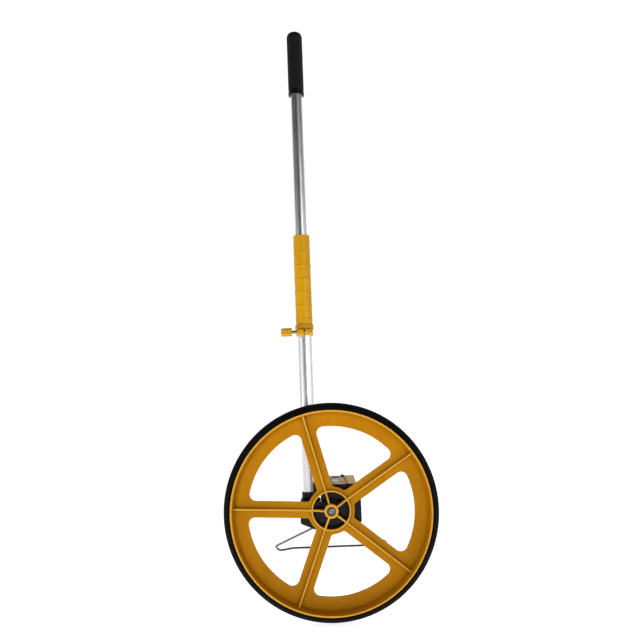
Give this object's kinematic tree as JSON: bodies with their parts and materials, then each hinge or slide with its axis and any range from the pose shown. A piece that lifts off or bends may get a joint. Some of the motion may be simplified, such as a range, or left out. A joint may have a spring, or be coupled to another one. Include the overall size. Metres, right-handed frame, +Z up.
{
  "type": "measuring wheel",
  "caption": "Surveyor's distance wheel: spoked amber wheel with a rubber tyre, geared mechanical counter, telescopic tube handle with clamp and a folding wire stand.",
  "frame": {"origin": "where the tyre meets the ground, under the axle, in the wheel's middle plane", "axes": "+Z up along the handle tube, +Y along the axle from the wheel towards the counter, +X the way the wheel is pushed"},
  "size_m": [0.3182, 0.22, 0.9255],
  "materials": {
    "amber_plastic": "satin moulded",
    "amber_gloss": "glossy moulded",
    "black_tyre": "matt rubber",
    "black_rubber": "dimpled rubber",
    "black_plastic": "fine grained",
    "black_nylon": "matt",
    "black_button": "glossy",
    "white_acetal": "waxy",
    "drum_white": "matt with dark numerals",
    "steel": "turned",
    "dark_steel": "oiled",
    "zinc_screw": "zinc plated",
    "plated_wire": "drawn and plated",
    "brushed_plate": "pressed",
    "aluminium_tube": "satin drawn",
    "clear_window": "clear",
    "dark_bezel": "satin grey",
    "label_cream": "printed film, left blank"
  },
  "bodies": {
    "frame": {"gear_case_front": "black_plastic", "gear_case_rear": "black_plastic", "case_screws": "zinc_screw", "socket_bolt": "zinc_screw", "socket_nut": "zinc_screw", "front_bush": "black_nylon", "rear_bush": "black_nylon", "idler_stud": "steel", "lower_tube": "aluminium_tube", "tube_bush": "black_nylon", "clamp_sleeve": "amber_gloss", "clamp_nut": "zinc_screw", "counter_housing": "black_plastic", "counter_window": "clear_window", "counter_bezel": "dark_bezel", "label_plate": "label_cream", "counter_screws": "zinc_screw", "counter_chassis": "brushed_plate", "drum_shaft": "steel", "pinion_shaft": "steel", "reset_spring": "steel", "stand_bracket": "black_nylon", "stand_screws": "zinc_screw"},
    "wheel": {"wheel_moulding": "amber_plastic", "tyre": "black_tyre", "axle": "steel", "hub_washer": "dark_steel", "hub_screw": "zinc_screw", "hub_spacer": "black_nylon", "axle_circlip": "dark_steel", "axle_gear": "white_acetal"},
    "idler": {"idler_gear": "white_acetal"},
    "drum_1": {"digit_drum_1": "drum_white", "drum_gear": "white_acetal"},
    "drum_2": {"digit_drum_2": "drum_white"},
    "drum_3": {"digit_drum_3": "drum_white"},
    "drum_4": {"digit_drum_4": "drum_white"},
    "drum_5": {"digit_drum_5": "drum_white"},
    "pinion_1": {"carry_pinion_1": "white_acetal"},
    "pinion_2": {"carry_pinion_2": "white_acetal"},
    "pinion_3": {"carry_pinion_3": "white_acetal"},
    "pinion_4": {"carry_pinion_4": "white_acetal"},
    "handle": {"upper_tube": "aluminium_tube", "tube_plug": "black_nylon", "grip": "black_rubber"},
    "knob": {"clamp_knob": "amber_gloss", "clamp_stud": "steel"},
    "stand": {"kick_stand": "plated_wire"},
    "reset": {"reset_button": "black_button"}
  },
  "joints": [
    {"name": "wheel_spin", "type": "hinge", "parent": "frame", "child": "wheel", "pos_m": [0, 0, 0.15915], "axis": [0, 1, 0], "continuous": true},
    {"name": "idler_spin", "type": "hinge", "parent": "frame", "child": "idler", "pos_m": [0.0085, 0.0336, 0.16873], "axis": [0, 1, 0], "continuous": true},
    {"name": "drum_1_spin", "type": "hinge", "parent": "frame", "child": "drum_1", "pos_m": [0.0085, 0.0321, 0.18137], "axis": [0, 0.9781, 0.2079], "continuous": true},
    {"name": "drum_2_spin", "type": "hinge", "parent": "frame", "child": "drum_2", "pos_m": [0.0085, 0.0321, 0.18137], "axis": [0, 0.9781, 0.2079], "continuous": true},
    {"name": "drum_3_spin", "type": "hinge", "parent": "frame", "child": "drum_3", "pos_m": [0.0085, 0.0321, 0.18137], "axis": [0, 0.9781, 0.2079], "continuous": true},
    {"name": "drum_4_spin", "type": "hinge", "parent": "frame", "child": "drum_4", "pos_m": [0.0085, 0.0321, 0.18137], "axis": [0, 0.9781, 0.2079], "continuous": true},
    {"name": "drum_5_spin", "type": "hinge", "parent": "frame", "child": "drum_5", "pos_m": [0.0085, 0.0321, 0.18137], "axis": [0, 0.9781, 0.2079], "continuous": true},
    {"name": "pinion_1_spin", "type": "hinge", "parent": "frame", "child": "pinion_1", "pos_m": [-0.0042, 0.0321, 0.18137], "axis": [0, 0.9781, 0.2079], "continuous": true},
    {"name": "pinion_2_spin", "type": "hinge", "parent": "frame", "child": "pinion_2", "pos_m": [-0.0042, 0.0321, 0.18137], "axis": [0, 0.9781, 0.2079], "continuous": true},
    {"name": "pinion_3_spin", "type": "hinge", "parent": "frame", "child": "pinion_3", "pos_m": [-0.0042, 0.0321, 0.18137], "axis": [0, 0.9781, 0.2079], "continuous": true},
    {"name": "pinion_4_spin", "type": "hinge", "parent": "frame", "child": "pinion_4", "pos_m": [-0.0042, 0.0321, 0.18137], "axis": [0, 0.9781, 0.2079], "continuous": true},
    {"name": "handle_slide", "type": "slide", "parent": "frame", "child": "handle", "axis": [0, 0, 1], "range_m": [-0.215, 0.04]},
    {"name": "clamp_turn", "type": "hinge", "parent": "frame", "child": "knob", "pos_m": [-0.0586, 0.028, 0.42935], "axis": [-1, 0, 0], "range_deg": [0, 360]},
    {"name": "stand_fold", "type": "hinge", "parent": "frame", "child": "stand", "pos_m": [0, 0.0735, 0.12565], "axis": [1, 0, 0], "range_deg": [-37.5, 112]},
    {"name": "reset_push", "type": "slide", "parent": "frame", "child": "reset", "axis": [0, 0.2079, -0.9781], "range_m": [0, 0.003], "stiffness_N_per_m": 400, "deforming": ["reset_spring"]}
  ],
  "couplings": [
    {"joint": "idler_spin", "follows": "wheel_spin", "ratio": -1.2857},
    {"joint": "drum_1_spin", "follows": "wheel_spin", "ratio": 1},
    {"joint": "drum_2_spin", "follows": "wheel_spin", "ratio": 0.1},
    {"joint": "drum_3_spin", "follows": "wheel_spin", "ratio": 0.01},
    {"joint": "drum_4_spin", "follows": "wheel_spin", "ratio": 0.001},
    {"joint": "drum_5_spin", "follows": "wheel_spin", "ratio": 0.0001},
    {"joint": "pinion_1_spin", "follows": "wheel_spin", "ratio": -0.25},
    {"joint": "pinion_2_spin", "follows": "wheel_spin", "ratio": -0.025},
    {"joint": "pinion_3_spin", "follows": "wheel_spin", "ratio": -0.0025},
    {"joint": "pinion_4_spin", "follows": "wheel_spin", "ratio": -0.00025}
  ]
}
